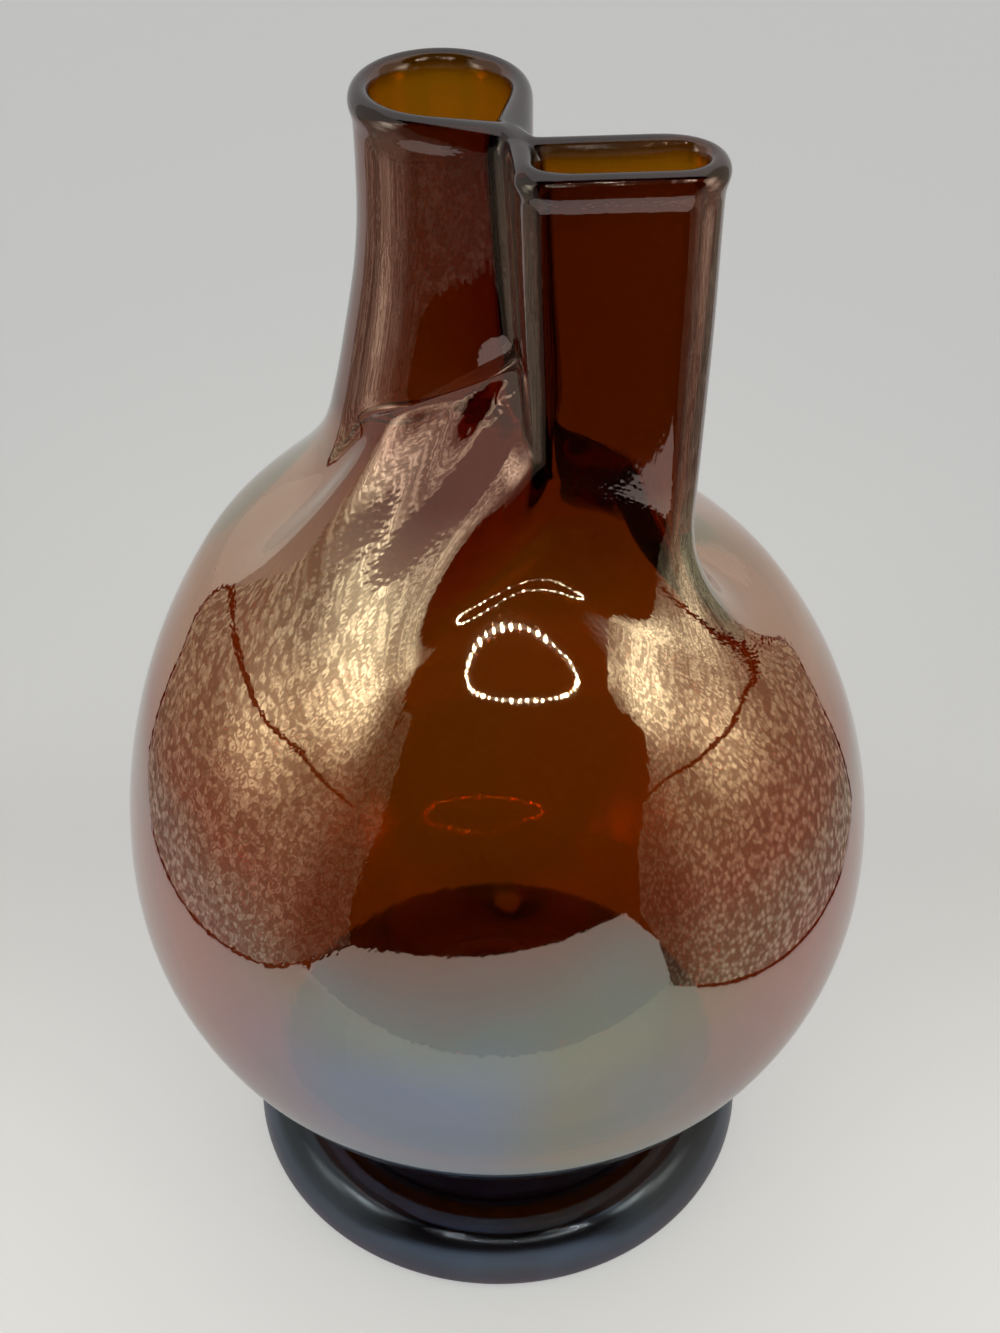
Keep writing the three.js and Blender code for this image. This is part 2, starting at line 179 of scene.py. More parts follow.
def spaced(path, count):
    """Points at equal steps along an open path."""
    run = np.concatenate([[0], np.cumsum(np.linalg.norm(np.diff(path, axis=0), axis=1))])
    at = np.linspace(0, run[-1], count + 1)
    return np.stack([np.interp(at, run, path[:, axis]) for axis in (0, 1)], axis=1)


def taut_outline(discs, start, count):
    """Outline round a set of discs as a taut band, from one end of the web to the other."""
    turn = start + np.arange(1, OUTLINE_STEPS) / OUTLINE_STEPS * 2 * math.pi
    out = np.stack([np.cos(turn), np.sin(turn)], axis=1)
    centres = np.array([disc[:2] for disc in discs])
    radii = np.array([disc[2] for disc in discs])
    outer = np.argmax(out @ centres.T + radii, axis=1)
    return spaced(centres[outer] + out * radii[outer][:, None], count)


def forward(height):
    """How far the necks' front stands out from where it is at the rim, by their lean and flare."""
    fall = (RIM_HEIGHT - height) / (RIM_HEIGHT - NECK_BASE)
    return FRONT_LEAN * fall + FRONT_FLARE * fall ** 2


def neck_section(height, inner):
    """Both neck outlines at one height, each from its first web end to its second."""
    below = max(0.0, (NECK_WAIST - height) / (NECK_WAIST - NECK_BASE))
    swell = LIP_SWELL * smooth(height, RIM_HEIGHT - LIP_DEPTH, RIM_HEIGHT)
    lean = WEB_LEAN * min(1.0, (RIM_HEIGHT - height) / (RIM_HEIGHT - FOLD_TOP))
    grow = swell / 2 - NECK_WALL if inner else swell

    def disc(place, flare, shift, share):
        radius = place[2] + grow + flare * below ** FLARE_CURVE
        return (place[0] + shift, place[1] - forward(height) * share, radius)

    web = (WEB_CENTRE[0] + lean, WEB_CENTRE[1] - forward(height) * WEB_SHARE)
    across = (math.cos(WEB_TURN) * WEB_HALF_THICKNESS, math.sin(WEB_TURN) * WEB_HALF_THICKNESS)

    def at(offset, sign=1):
        return (web[0] + sign * offset[0], web[1] + sign * offset[1], 0.0)

    ends = [at(across), at(across, -1)]
    left = [disc(LEFT_DISC, LEFT_FLARE, 0, LEFT_SHARE), *([at(LEFT_TIP)] if inner else ends)]
    right = [disc(RIGHT_NEAR_DISC, RIGHT_FLARE, lean / 2, 1), disc(RIGHT_FAR_DISC, RIGHT_FLARE, 0, FAR_SHARE),
             *([at(RIGHT_TIP)] if inner else ends)]
    normal = WEB_TURN + math.pi / 2
    left_start = math.atan2(-LEFT_TIP[1], -LEFT_TIP[0]) if inner else normal + math.pi
    right_start = RIGHT_TIP_TURN if inner else normal
    return {"left": taut_outline(left, left_start, HALF), "right": taut_outline(right, right_start, HALF)}


STATIONS = np.linspace(NECK_BASE - 8, RIM_HEIGHT, STATION_COUNT)
SECTIONS = {inner: [neck_section(height, inner) for height in STATIONS] for inner in (False, True)}


def neck_point(inner, side, k, height):
    place = (height - STATIONS[0]) / (STATIONS[1] - STATIONS[0])
    low = int(min(len(STATIONS) - 2, max(0, math.floor(place))))
    flat = mix(SECTIONS[inner][low][side][k], SECTIONS[inner][low + 1][side][k], place - low)
    return np.array([flat[0], flat[1], height])


def side_of(j):
    j = j % AROUND
    return ("left", j) if j < HALF else ("right", j - HALF)


def body_turn(j):
    return math.pi / 4 + j / AROUND * 2 * math.pi


def outwards(j):
    return np.array([math.cos(body_turn(j)), math.sin(body_turn(j)), 0.0])


def crease(j):
    """How far a meridian lies past its nearest crease, and the fold's rise and pinch there."""
    past = (((j + HALF / 2) % HALF) - HALF / 2) * STEPS_ROUND / AROUND
    strength = 1.0 if round(j / HALF) == 1 else BACK_FOLD

    def hump(start, full, hold, end):
        return strength * smooth(past, start, full) * (1 - smooth(past, hold, end))

    return past, hump(*RISE_SPAN), hump(*PINCH_SPAN)


def towards(j, turn):
    """How much a meridian faces a side: one straight at it, none a quarter turn off."""
    return max(0.0, math.cos(body_turn(j) - turn)) ** 2


def bulb_point(j, lift, inset):
    turn = body_turn(j)
    fullness = LEFT_FULLNESS * towards(j, FULLEST_TURN) + FRONT_FULLNESS * towards(j, FRONT_TURN)
    half = (LOWER_HALF if lift < 0 else UPPER_HALF + fullness) - inset
    radius = (BODY_RADIUS - inset) * math.cos(lift)
    height = EQUATOR_HEIGHT + half * math.sin(lift)
    return np.array([radius * math.cos(turn), radius * math.sin(turn), height])


def shoulder_end(j, inner):
    side, k = side_of(j)
    past, rise, pinch = crease(j)
    base = mix(RIGHT_BASE, NECK_BASE, (1 + math.cos(body_turn(j) - FULLEST_TURN)) / 2)
    base += FRONT_RISE * towards(j, FRONT_TURN)
    if inner:
        height = mix(base - INNER_DROP, CROTCH_HEIGHT - CROTCH_DROP, rise)
        wall = neck_point(True, side, k, height)
        web = np.array([WEB_CENTRE[0] + WEB_LEAN, WEB_CENTRE[1] - forward(height) * WEB_SHARE, height])
        near = min(abs(j - end) for end in (0, HALF, AROUND)) * STEPS_ROUND / AROUND
        off = -CROTCH_OFFSET if HALF / 2 < j < HALF * 1.5 else CROTCH_OFFSET
        return mix(wall, web + np.array([off, off * CROTCH_SLANT, 0]), 1 - smooth(near, 0, CROTCH_REACH))
    height = mix(base, FOLD_TOP + FOLD_FALL * min(0.0, past), rise)
    return neck_point(False, side, k, height) + outwards(j) * FOLD_REACH * pinch


def crotch_height(side, k):
    """Lower end of a bore: it climbs to the web's tip, and at the front it keeps above the shoulder."""
    j = k if side == "left" else k + HALF
    from_web = min(k, HALF - k) * STEPS_ROUND / AROUND
    climb = (CROTCH_HEIGHT - NECK_BASE) * (1 - smooth(from_web, 0, CROTCH_CLIMB))
    return NECK_BASE + BORE_GAP + max(climb, FRONT_RISE / 2 * towards(j, FRONT_TURN))


def shoulder_angle(j):
    """Where the bulb ends: higher at the front, where the neck stands on it like a post."""
    off = (body_turn(j) - FRONT_TURN + math.pi) % (2 * math.pi) - math.pi
    return mix(FRONT_SHOULDER, SHOULDER_ANGLE, smooth(abs(off), 0, FRONT_WIDTH))


def shoulder_point(j, t, inner):
    """Shoulder: a cubic curve that leaves the bulb along its tangent and runs into the neck or the fold."""
    inset = WALL if inner else 0.0
    angle = shoulder_angle(j)
    start = bulb_point(j, angle, inset)
    end = shoulder_end(j, inner)
    span = np.linalg.norm(end - start)
    along = bulb_point(j, angle + TANGENT_TURN, inset) - start
    along = along / np.linalg.norm(along)
    side, k = side_of(j)
    wall = neck_point(inner, side, k, end[2] + TANGENT_RISE) - neck_point(inner, side, k, end[2])
    past, rise, pinch = crease(j)
    rise = max(pinch, rise * smooth(past, *ARRIVAL_SPAN))
    fold = np.array([0, 0, 1.0]) - FOLD_SLANT * outwards(j)
    arrive = wall / np.linalg.norm(wall) * (1 - rise) + rise * fold
    arrive = arrive / np.linalg.norm(arrive)
    first = start + along * span * mix(SHOULDER_LIFT, FRONT_LIFT, towards(j, FRONT_TURN)) / 3
    second = end - arrive * span / 3
    return ((1 - t) ** 3 * start + 3 * (1 - t) ** 2 * t * first
            + 3 * (1 - t) * t * t * second + t ** 3 * end)


# Rings above the shoulder's end: height on the plain neck, height at the fold, reach out of it, and how
# far each keeps below the throat's top
FOLD_RINGS = [(1.5, 0.9, 0.62, 2.0), (3.0, -0.6, -0.1, 1.5), (5.0, 0.6, -0.5, 1.0), (9.0, 3.5, -0.3, 0.5)]


def fold_point(j, ring):
    side, k = side_of(j)
    pinch = crease(j)[2]
    height = min(shoulder_end(j, False)[2] + mix(ring[0], ring[1], pinch), THROAT_TOP - ring[3])
    return neck_point(False, side, k, height) + outwards(j) * FOLD_REACH * ring[2] * pinch


class Skin:
    """Points and faces of one closed skin, put together from rings. Each point carries its place on the
    flow of the glass and whether the lustre reaches it."""

    def __init__(self):
        self.points, self.flow, self.outside, self.faces = [], [], [], []

    def ring(self, points, flow, outside):
        first = len(self.points)
        self.points.extend(np.asarray(point, float) for point in points)
        self.flow.extend(flow)
        self.outside.extend([outside] * len(points))
        return list(range(first, first + len(points)))

    def quad(self, *corners):
        loop = [c for i, c in enumerate(corners) if c != corners[i - 1]]
        if len(loop) > 2:
            self.faces.append(loop)

    def band(self, lower, upper, closed=True):
        for i in range(len(lower) if closed else len(lower) - 1):
            n = (i + 1) % len(lower)
            self.quad(lower[i], lower[n], upper[n], upper[i])

    def bands(self, rings):
        for lower, upper in zip(rings, rings[1:]):
            self.band(lower, upper)


def ring_of(point):
    return [point(j) for j in range(AROUND)]


def flow_ring(reach, along):
    """Place on the glass as it was drawn out: round the vase at a reach, and along its wall."""
    return [tuple(outwards(j)[:2] * reach) + (along,) for j in range(AROUND)]


def vessel_skin():
    """The whole gather as one closed skin: up the outside, over the lip, down the bores, round the inside."""
    skin = Skin()
    along = 0.0

    def stack(points_of, reach, step):
        nonlocal along
        along += step
        return skin.ring(ring_of(points_of), flow_ring(reach, along), 1.0)

    bottom = skin.ring([(0, 0, EQUATOR_HEIGHT - LOWER_HALF)], [(0, 0, 0)], 1.0)
    shares = [i / BULB_RINGS for i in range(1, BULB_RINGS + 1)]

    def bulb_ring(share, inset):
        return lambda j: bulb_point(j, mix(-math.pi / 2, shoulder_angle(j), share), inset)

    outer = []
    for share in shares:
        girth = max(math.cos(mix(-math.pi / 2, SHOULDER_ANGLE, share)), LEAST_FLOW)
        outer.append(stack(bulb_ring(share, 0), BODY_RADIUS * girth, BULB_RUN))
    for i in range(1, SHOULDER_RINGS + 1):
        t = i / SHOULDER_RINGS
        reach = mix(SHOULDER_FLOW, NECK_FLOW, t)
        outer.append(stack(lambda j, t=t: shoulder_point(j, t, False), reach, SHOULDER_RUN))
    for ring in FOLD_RINGS:
        outer.append(stack(lambda j, ring=ring: fold_point(j, ring), NECK_FLOW, FOLD_RUN))

    def neck_ring(height):
        return lambda j: neck_point(False, *side_of(j), height)

    for height in [*NECK_RINGS, RIM_HEIGHT - LIP_DEPTH]:
        outer.append(stack(neck_ring(height), NECK_FLOW, NECK_RUN))
    for t in LIP_RINGS:
        outer.append(stack(neck_ring(RIM_HEIGHT - LIP_DEPTH * (1 - t)), NECK_FLOW, LIP_RUN))
    rim = outer[-1]

    def bore_loops(height_of, outside=0.0):
        loops = {}
        for side in ("left", "right"):
            points = [neck_point(True, side, k, height_of(side, k)) for k in range(HALF)]
            start = 0 if side == "left" else HALF
            flow = flow_ring(BORE_FLOW, points[0][2])[start:start + HALF]
            loop = skin.ring(points, flow, outside)
            loops[side] = loop + [loop[0]]
        return loops

    mouths = bore_loops(lambda side, k: RIM_HEIGHT, 0.5)
    lip_over(skin, rim, mouths, along)
    levels = [RIM_HEIGHT - LIP_DEPTH * LIP_RINGS[0], RIM_HEIGHT - LIP_DEPTH, *BORE_RINGS, THROAT_TOP]
    bores = [mouths] + [bore_loops(lambda side, k, z=z: z) for z in levels]
    for share in (0.5, 1.0):
        bores.append(bore_loops(lambda side, k, share=share: mix(THROAT_TOP, crotch_height(side, k), share)))
    for upper, lower in zip(bores, bores[1:]):
        for side in ("left", "right"):
            skin.band(upper[side], lower[side], closed=False)

    inner = []
    for i in range(INNER_SHOULDER_RINGS, 0, -1):
        points = ring_of(lambda j, t=i / INNER_SHOULDER_RINGS: shoulder_point(j, t, True))
        inner.append(skin.ring(points, flow_ring(INNER_FLOW, 0), 0.0))
    top = inner[0]
    crotch = bores[-1]
    skin.band(crotch["left"], top[:HALF + 1], closed=False)
    skin.band(crotch["right"], top[HALF:] + [top[0]], closed=False)
    skin.quad(crotch["left"][0], top[0], crotch["right"][0], top[HALF])
    for share in reversed(shares):
        inner.append(skin.ring(ring_of(bulb_ring(share, WALL)), flow_ring(INNER_FLOW, 0), 0.0))
    floor = skin.ring([(0, 0, EQUATOR_HEIGHT - LOWER_HALF + WALL)], [(0, 0, 0)], 0.0)
    skin.bands(outer)
    skin.bands(inner)
    for i in range(AROUND):
        n = (i + 1) % AROUND
        skin.quad(bottom[0], outer[0][n], outer[0][i])
        skin.quad(inner[-1][i], inner[-1][n], floor[0])
    return skin


def lip_over(skin, rim, mouths, along):
    """The rounded bead round each mouth, and the saddle where the two beads meet over the web."""
    half_turn = [math.pi * i / BEAD_STEPS for i in range(BEAD_STEPS + 1)]
    ease = [(1 - math.cos(turn)) / 2 for turn in half_turn]
    corners = {(0, 0): rim[HALF], (BEAD_STEPS, 0): mouths["right"][0],
               (BEAD_STEPS, BEAD_STEPS): rim[0], (0, BEAD_STEPS): mouths["left"][0]}
    front, behind = skin.points[rim[HALF]], skin.points[rim[0]]
    left_tip, right_tip = skin.points[mouths["left"][0]], skin.points[mouths["right"][0]]
    web = {}
    for a in range(BEAD_STEPS + 1):
        for b in range(BEAD_STEPS + 1):
            if (a, b) in corners:
                web[a, b] = corners[a, b]
                continue
            near = mix(front, right_tip, ease[a])
            far = mix(left_tip, behind, ease[a])
            point = mix(near, far, ease[b])
            ridge = math.sqrt(1 - (math.cos(half_turn[a]) * math.cos(half_turn[b])) ** 2)
            point[2] = RIM_HEIGHT + LIP_BEAD * ridge
            web[a, b] = skin.ring([point], [(point[0], point[1], along)], 1.0)[0]
    for a in range(BEAD_STEPS):
        for b in range(BEAD_STEPS):
            skin.quad(web[a, b], web[a + 1, b], web[a + 1, b + 1], web[a, b + 1])
    ends = {
        "left": lambda i: (web[BEAD_STEPS - i, BEAD_STEPS], web[0, i]),
        "right": lambda i: (web[i, 0], web[BEAD_STEPS, BEAD_STEPS - i]),
    }
    rims = {"left": rim[:HALF + 1], "right": rim[HALF:] + [rim[0]]}
    for side in ("left", "right"):
        arcs = [rims[side]]
        for i in range(1, BEAD_STEPS):
            start, end = ends[side](i)
            points, flow = [], []
            for k in range(1, HALF):
                point = mix(skin.points[rims[side][k]], skin.points[mouths[side][k]], ease[i])
                point[2] = RIM_HEIGHT + LIP_BEAD * math.sin(half_turn[i])
                points.append(point)
                flow.append(skin.flow[rims[side][k]][:2] + (along + i,))
            arcs.append([start, *skin.ring(points, flow, 1.0), end])
        arcs.append(mouths[side])
        for lower, upper in zip(arcs, arcs[1:]):
            skin.band(lower, upper, closed=False)


def deselect():
    if bpy.context.object and bpy.context.object.mode != "OBJECT":
        bpy.ops.object.mode_set(mode="OBJECT")
    bpy.ops.object.select_all(action="DESELECT")


def make_active(piece):
    deselect()
    piece.select_set(True)
    bpy.context.view_layer.objects.active = piece


def linear(hex_colour):
    """An sRGB hex colour as linear RGBA."""
    parts = [int(hex_colour[i:i + 2], 16) / 255 for i in (1, 3, 5)]
    return tuple(c / 12.92 if c <= 0.04045 else ((c + 0.055) / 1.055) ** 2.4 for c in parts) + (1.0,)


def add(tree, kind, links=None, **settings):
    """One node with its settings: names in settings are properties, names in links are sockets."""
    node = tree.nodes.new(kind)
    for name, value in settings.items():
        setattr(node, name, value)
    for name, value in (links or {}).items():
        socket = node.inputs[name]
        if isinstance(value, bpy.types.NodeSocket):
            tree.links.new(value, socket)
        else:
            socket.default_value = value
    return node


def new_material(name):
    material = bpy.data.materials.new(name)
    material.use_nodes = True
    material.node_tree.nodes.clear()
    return material, material.node_tree


def film_colour(tree, level, bands):
    """Colour of the thin metal film on the glass, which runs in bands as the film thins or thickens."""
    node = add(tree, "ShaderNodeValToRGB", {"Fac": level})
    while len(node.color_ramp.elements) < len(bands):
        node.color_ramp.elements.new(0.5)
    for element, (position, colour) in zip(node.color_ramp.elements, bands):
        element.position = position
        element.color = linear(colour)
    return node.outputs["Color"]


# Film of the lustre by height, as a share of the vase's: steel blue, olive, rose, gold, mauve, dark lip
LUSTRE_BANDS = [(0.0, "#cbdffa"), (0.40, "#c4dcfa"), (0.47, "#cddad0"), (0.53, "#dfae94"), (0.6, "#f1d3aa"),
                (0.71, "#fbeccc"), (0.78, "#a88c80"), (0.95, "#a98c80"), (1.0, "#7c7472")]
FOOT_BANDS = [(0.3, "#8fa6c4"), (0.5, "#9db4d2"), (0.7, "#98a6b8")]
# Relief of the skin, in millimetres; the pucker's place and reach are in metres
WRINKLE_WIDTH = 1.2
WRINKLE_DEPTH = 0.06
WRINKLE_STRENGTH = 0.3
GLASS_ROUGHNESS = 0.035
GLASS_IOR = 1.5
PUCKER_DEPTH = 0.3
PUCKER_STRENGTH = 0.6
PUCKER = (-0.003, -0.018, 0.212)
PUCKER_EDGE = 0.010
PUCKER_CORE = 0.004
# Foot: heights in metres between which its lustre and satin grow towards the rim, and how much deeper its
# amber is than the vessel's
FOOT_CLEAR = 0.0125
FOOT_FULL = 0.0095
DISH_LUSTRE = 0.15
DISH_ROUGHNESS = 0.07
RIM_ROUGHNESS = 0.3
FOOT_DEPTH = 6


# Lustre glass: amber glass sprayed hot with metal salts, which leave a thin mirror-like skin outside. The
# eye sees a soft metallic reflection in gold, mauve and steel blue over dark see-through amber.
def lustre_glass():
    colours = bpy.context.scene.vase_finish
    material, tree = new_material("amber_glass_fumed_lustre")
    place = add(tree, "ShaderNodeTexCoord").outputs["Object"]
    outside = add(tree, "ShaderNodeAttribute", attribute_name="outside").outputs["Fac"]
    flow = add(tree, "ShaderNodeAttribute", attribute_name="flow").outputs["Vector"]

    # Colour of the lustre, from the foot to the lips, shifted by slow drifts of the metal vapour
    drift = add(tree, "ShaderNodeTexNoise", {"Vector": place, "Scale": 18.0, "Detail": 2.0}).outputs["Fac"]
    axes = add(tree, "ShaderNodeSeparateXYZ", {"Vector": place}).outputs
    height = add(tree, "ShaderNodeMapRange", {
        "Value": axes["Z"], "From Min": 0.0, "From Max": TOTAL_HEIGHT * MM}).outputs[0]
    shifted = add(tree, "ShaderNodeMath", {0: drift, 1: 0.16, 2: -0.08}, operation="MULTIPLY_ADD").outputs[0]
    level = add(tree, "ShaderNodeMath", {0: height, 1: shifted}, operation="ADD").outputs[0]
    film = film_colour(tree, level, LUSTRE_BANDS)

    # Below the belly the steel blue turns olive to the right of the front and rose towards both sides
    low = add(tree, "ShaderNodeMapRange", {"Value": level, "From Min": 0.52, "From Max": 0.44}).outputs[0]
    right = add(tree, "ShaderNodeMapRange", {
        "Value": axes["X"], "From Min": -0.004, "From Max": 0.012}).outputs[0]
    olive = add(tree, "ShaderNodeMath", {0: low, 1: right}, operation="MULTIPLY").outputs[0]
    olive = add(tree, "ShaderNodeMath", {0: olive, 1: drift}, operation="MULTIPLY").outputs[0]
    aside = add(tree, "ShaderNodeMath", {0: axes["X"]}, operation="ABSOLUTE").outputs[0]
    aside = add(tree, "ShaderNodeMapRange", {"Value": aside, "From Min": 0.03, "From Max": 0.06}).outputs[0]
    rose = add(tree, "ShaderNodeMath", {0: aside, 1: low}, operation="MULTIPLY").outputs[0]
    for share, tint in ((olive, "#dcdcaa"), (rose, "#ecd3cd")):
        film = add(tree, "ShaderNodeMix", {"Factor": share, 6: film, 7: linear(tint)},
                   data_type="RGBA").outputs[2]
    # The inside has no film
    film = add(tree, "ShaderNodeMix", {"Factor": outside, 6: (1, 1, 1, 1), 7: film},
               data_type="RGBA").outputs[2]
    metal = add(tree, "ShaderNodeMath", {0: outside, 1: colours.lustre}, operation="MULTIPLY").outputs[0]

    # Orange-peel wrinkles of the cooled skin, which fade towards the foot and come and go elsewhere
    grain = add(tree, "ShaderNodeTexVoronoi", {"Vector": flow, "Scale": 1 / WRINKLE_WIDTH, "Randomness": 1.0},
                feature="SMOOTH_F1").outputs["Distance"]
    where = add(tree, "ShaderNodeTexNoise", {"Vector": place, "Scale": 14.0, "Detail": 3.0}).outputs["Fac"]
    much = add(tree, "ShaderNodeMapRange", {"Value": where, "From Min": 0.3, "From Max": 0.7}).outputs[0]
    belly = add(tree, "ShaderNodeMapRange", {"Value": height, "From Min": 0.22, "From Max": 0.36}).outputs[0]
    for share in (belly, outside, WRINKLE_STRENGTH):
        much = add(tree, "ShaderNodeMath", {0: much, 1: share}, operation="MULTIPLY").outputs[0]
    wrinkle = add(tree, "ShaderNodeBump", {"Strength": much, "Distance": WRINKLE_DEPTH * MM, "Height": grain})

    # Pucker: where the tool squeezed the crease the glass melted into small swirls
    off = add(tree, "ShaderNodeVectorMath", {0: place, 1: PUCKER}, operation="DISTANCE").outputs["Value"]
    near = add(tree, "ShaderNodeMapRange", {
        "Value": off, "From Min": PUCKER_EDGE, "From Max": PUCKER_CORE}).outputs[0]
    for share in (outside, PUCKER_STRENGTH):
        near = add(tree, "ShaderNodeMath", {0: near, 1: share}, operation="MULTIPLY").outputs[0]
    swirl = add(tree, "ShaderNodeTexNoise", {
        "Vector": place, "Scale": 260.0, "Detail": 0.0, "Distortion": 1.6}).outputs["Fac"]
    pucker = add(tree, "ShaderNodeBump", {
        "Strength": near, "Distance": PUCKER_DEPTH * MM, "Height": swirl,
        "Normal": wrinkle.outputs["Normal"]})
    shader = add(tree, "ShaderNodeBsdfPrincipled", {
        "Base Color": film, "Metallic": metal, "Roughness": GLASS_ROUGHNESS, "IOR": GLASS_IOR,
        "Transmission Weight": 1.0, "Normal": pucker.outputs["Normal"]})
    amber = add(tree, "ShaderNodeVolumeAbsorption", {
        "Color": linear(colours.amber), "Density": colours.depth})
    add(tree, "ShaderNodeOutputMaterial", {"Surface": shader.outputs[0], "Volume": amber.outputs[0]})
    return material


# Dark foot glass: the same amber glass, so deep in colour that it looks black. Its rim was pressed and has a
# satin blue-grey lustre; the dish inside stays clear and shiny.
def foot_glass():
    colours = bpy.context.scene.vase_finish
    material, tree = new_material("dark_amber_glass_pressed_lustre")
    place = add(tree, "ShaderNodeTexCoord").outputs["Object"]
    drift = add(tree, "ShaderNodeTexNoise", {"Vector": place, "Scale": 30.0, "Detail": 2.0}).outputs["Fac"]
    height = add(tree, "ShaderNodeSeparateXYZ", {"Vector": place}).outputs["Z"]
    rim = add(tree, "ShaderNodeMapRange", {
        "Value": height, "From Min": FOOT_CLEAR, "From Max": FOOT_FULL}).outputs[0]
    metal = add(tree, "ShaderNodeMapRange", {
        "Value": rim, "To Min": DISH_LUSTRE, "To Max": colours.foot_lustre}).outputs[0]
    satin = add(tree, "ShaderNodeMapRange", {
        "Value": rim, "To Min": DISH_ROUGHNESS, "To Max": RIM_ROUGHNESS}).outputs[0]
    shader = add(tree, "ShaderNodeBsdfPrincipled", {
        "Base Color": film_colour(tree, drift, FOOT_BANDS), "Metallic": metal, "Roughness": satin,
        "IOR": GLASS_IOR, "Transmission Weight": 1.0})
    amber = add(tree, "ShaderNodeVolumeAbsorption", {
        "Color": linear(colours.amber), "Density": FOOT_DEPTH * colours.depth})
    add(tree, "ShaderNodeOutputMaterial", {"Surface": shader.outputs[0], "Volume": amber.outputs[0]})
    return material


def finished(piece, slot, *nodes):
    """Puts a finished piece on the vase's root body, which it rides on, and hides the CAD nodes it stands
    for.
    """
    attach(piece, "root")
    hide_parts(*nodes)


class VaseSizes(bpy.types.PropertyGroup):
    smoothing: IntProperty(
        name="Smoothing", description="Times the cage of the skin is subdivided", default=2, min=0, max=2)
    foot_radius: FloatProperty(
        name="Foot radius", description="Outer radius of the foot ring", default=FOOT_RADIUS * MM,
        unit="LENGTH", subtype="DISTANCE")
    foot_height: FloatProperty(
        name="Foot height", description="Height of the foot's rounded edge", default=FOOT_HEIGHT * MM,
        unit="LENGTH", subtype="DISTANCE")


class VaseFinish(bpy.types.PropertyGroup):
    amber: StringProperty(
        name="Amber", description="Colour that the glass lets through, as sRGB hex", default="#fae700")
    depth: FloatProperty(
        name="Depth", description="How strongly the glass takes off light, per metre", default=1300.0)
    lustre: FloatProperty(
        name="Lustre", description="Share of light that the metallic skin throws back", default=0.42,
        min=0, max=1)
    foot_lustre: FloatProperty(
        name="Foot lustre", description="The same share on the foot's rim", default=0.27, min=0, max=1)


class VaseStudio(bpy.types.PropertyGroup):
    backdrop: FloatProperty(
        name="Backdrop", description="Brightness behind the vase", default=0.6, min=0)
    softbox: FloatProperty(
        name="Side walls", description="Brightness of the tent's side walls", default=1.0, min=0)
    beads: FloatProperty(
        name="Ring lamp", description="Brightness of the ring lamp's beads", default=70.0, min=0)


def skin_object(name, skin):
    mesh = bpy.data.meshes.new(name)
    mesh.from_pydata([tuple(float(c) * MM for c in point) for point in skin.points], [], skin.faces)
    flow = mesh.attributes.new("flow", "FLOAT_VECTOR", "POINT")
    flow.data.foreach_set("vector", np.array(skin.flow, dtype=float).ravel())
    outside = mesh.attributes.new("outside", "FLOAT", "POINT")
    outside.data.foreach_set("value", np.array(skin.outside, dtype=float))
    piece = bpy.data.objects.new(name, mesh)
    bpy.context.collection.objects.link(piece)
    return piece


class VASE_OT_vessel(bpy.types.Operator):
    """Blow the vessel: bulb, pinched throat, both necks and the lip, as one skin of glass"""
    bl_idname = "vase.vessel"
    bl_label = "Blow vessel"

    def execute(self, context):
        # The freehand pinch has no primitive to start from, so its cage is worked out point by point
        piece = skin_object("vessel", vessel_skin())
        make_active(piece)
        rounding = piece.modifiers.new("Fire polish", "SUBSURF")
        rounding.levels = rounding.render_levels = context.scene.vase_sizes.smoothing
        bpy.ops.object.modifier_apply(modifier=rounding.name)
        bpy.ops.object.shade_smooth()
        piece.data.materials.append(lustre_glass())
        finished(piece, "vessel_glass", "body", "pinched_throat", "left_neck", "right_neck", "lip")
        return {"FINISHED"}


def arc(x, z, radius, start, end, count):
    """Points of an arc in a profile, from one angle to another in degrees."""
    return [(x + radius * math.cos(math.radians(mix(start, end, i / count))),
             z + radius * math.sin(math.radians(mix(start, end, i / count)))) for i in range(count + 1)]


def spun(name, profile):
    """A piece turned from a profile of radius and height, in millimetres, by spinning it round the axis."""
    deselect()
    bpy.ops.mesh.primitive_plane_add(size=1)
    piece = bpy.context.object
    piece.name = piece.data.name = name
    shape = bmesh.new()
    points = [shape.verts.new((radius * MM, 0, height * MM)) for radius, height in profile]
    for start, end in zip(points, points[1:]):
        shape.edges.new((start, end))
    shape.to_mesh(piece.data)
    shape.free()
    bpy.ops.object.mode_set(mode="EDIT")
    bpy.ops.mesh.select_all(action="SELECT")
    bpy.ops.mesh.spin(steps=TURNED_STEPS, angle=2 * math.pi, center=(0, 0, 0), axis=(0, 0, 1))
    bpy.ops.mesh.select_all(action="SELECT")
    bpy.ops.mesh.remove_doubles(threshold=0.01 * MM)
    bpy.ops.mesh.normals_make_consistent(inside=False)
    bpy.ops.object.mode_set(mode="OBJECT")
    bpy.ops.object.shade_smooth()
    return piece


